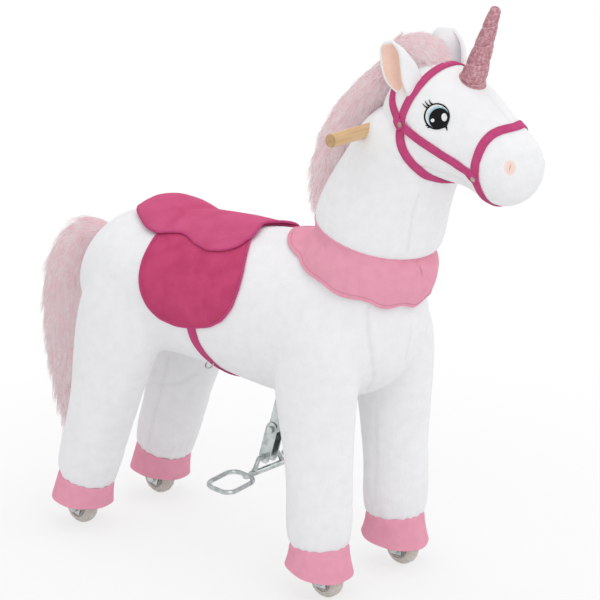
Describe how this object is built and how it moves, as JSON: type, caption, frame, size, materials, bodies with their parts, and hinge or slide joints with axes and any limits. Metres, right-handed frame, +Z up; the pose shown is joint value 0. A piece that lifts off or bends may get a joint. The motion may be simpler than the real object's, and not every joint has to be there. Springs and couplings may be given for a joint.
{
  "type": "plush ride on animal",
  "caption": "Stuffed ride-on unicorn on wheeled spring legs, with a saddle, turning head, wooden handle and fold-down foot pedals.",
  "frame": {"origin": "on the floor under the middle of the bounding box", "axes": "+Z up, -Y the way the animal faces, +X its left side"},
  "size_m": [0.3, 0.936, 0.8935],
  "materials": {
    "plush": "short pile plush",
    "hair": "long pile plush",
    "felt": "brushed fabric",
    "saddle": "velour fabric",
    "horn": "metallic coated fabric",
    "steel": "zinc plated",
    "wood": "clear varnish",
    "tread": "translucent polyurethane",
    "plastic": "moulded"
  },
  "bodies": {
    "body": {"seat_beam": "steel", "seat_board": "wood", "head_tube": "steel", "torso_plush": "plush", "tail": "hair", "saddle_blanket": "saddle", "saddle_seat": "saddle", "girth_strap": "saddle", "girth_ring": "steel", "collar": "felt"},
    "steering": {"steering_post": "steel", "handle_dowel": "wood", "neck_plush": "plush", "head_plush": "plush", "ear_left": "plush", "ear_right": "plush", "horn": "horn", "mane": "hair", "forelock": "hair", "noseband": "saddle", "browband": "saddle", "cheek_strap_left": "saddle", "cheek_strap_right": "saddle"},
    "front_legs": {"front_cross_tube": "steel", "pedal_arm": "steel", "pedal_bolt": "steel", "leg_tube_front_left": "steel", "leg_tube_front_right": "steel", "leg_plush_front_left": "plush", "leg_plush_front_right": "plush", "cuff_front_left": "felt", "cuff_front_right": "felt"},
    "rear_legs": {"rear_cross_tube": "steel", "leg_tube_rear_left": "steel", "leg_tube_rear_right": "steel", "leg_plush_rear_left": "plush", "leg_plush_rear_right": "plush", "cuff_rear_left": "felt", "cuff_rear_right": "felt", "fork_rear_left": "steel", "fork_rear_right": "steel", "axle_rear_left": "steel", "axle_rear_right": "steel"},
    "front_fork_left": {"fork_front_left": "steel", "axle_front_left": "steel"},
    "front_fork_right": {"fork_front_right": "steel", "axle_front_right": "steel"},
    "wheel_front_left": {"tyre_front_left": "tread", "hub_front_left": "plastic"},
    "wheel_front_right": {"tyre_front_right": "tread", "hub_front_right": "plastic"},
    "wheel_rear_left": {"tyre_rear_left": "tread", "hub_rear_left": "plastic"},
    "wheel_rear_right": {"tyre_rear_right": "tread", "hub_rear_right": "plastic"},
    "pedals": {"pedal_hanger": "steel", "pedal_bar": "steel", "foot_loop_left": "steel", "foot_loop_right": "steel"}
  },
  "joints": [
    {"name": "steer", "type": "hinge", "parent": "body", "child": "steering", "pos_m": [0, -0.188, 0.528], "axis": [0, -0.1994, 0.9799], "range_deg": [-20, 20]},
    {"name": "front_leg_swing", "type": "hinge", "parent": "body", "child": "front_legs", "pos_m": [0, -0.155, 0.39], "axis": [-1, 0, 0], "range_deg": [0, 10], "stiffness_Nm_per_rad": 60, "springref_deg": -14.32},
    {"name": "rear_leg_swing", "type": "hinge", "parent": "body", "child": "rear_legs", "pos_m": [0, 0.215, 0.39], "axis": [1, 0, 0], "range_deg": [0, 10]},
    {"name": "front_fork_left_turn", "type": "hinge", "parent": "front_legs", "child": "front_fork_left", "pos_m": [0.089, -0.155, 0.027], "axis": [0, 0, 1], "range_deg": [-12, 12]},
    {"name": "front_fork_right_turn", "type": "hinge", "parent": "front_legs", "child": "front_fork_right", "pos_m": [-0.089, -0.155, 0.027], "axis": [0, 0, 1], "range_deg": [-12, 12]},
    {"name": "wheel_front_left_spin", "type": "hinge", "parent": "front_fork_left", "child": "wheel_front_left", "pos_m": [0.089, -0.17, 0.027], "axis": [1, 0, 0], "continuous": true},
    {"name": "wheel_front_right_spin", "type": "hinge", "parent": "front_fork_right", "child": "wheel_front_right", "pos_m": [-0.089, -0.17, 0.027], "axis": [1, 0, 0], "continuous": true},
    {"name": "wheel_rear_left_spin", "type": "hinge", "parent": "rear_legs", "child": "wheel_rear_left", "pos_m": [0.089, 0.322, 0.027], "axis": [1, 0, 0], "continuous": true},
    {"name": "wheel_rear_right_spin", "type": "hinge", "parent": "rear_legs", "child": "wheel_rear_right", "pos_m": [-0.089, 0.322, 0.027], "axis": [1, 0, 0], "continuous": true},
    {"name": "pedal_fold", "type": "hinge", "parent": "front_legs", "child": "pedals", "pos_m": [0, 0.005, 0.198], "axis": [-1, 0, 0], "range_deg": [0, 75]}
  ],
  "couplings": [
    {"joint": "rear_leg_swing", "follows": "front_leg_swing", "ratio": 1},
    {"joint": "front_fork_left_turn", "follows": "steer", "ratio": 0.6},
    {"joint": "front_fork_right_turn", "follows": "steer", "ratio": 0.6}
  ]
}
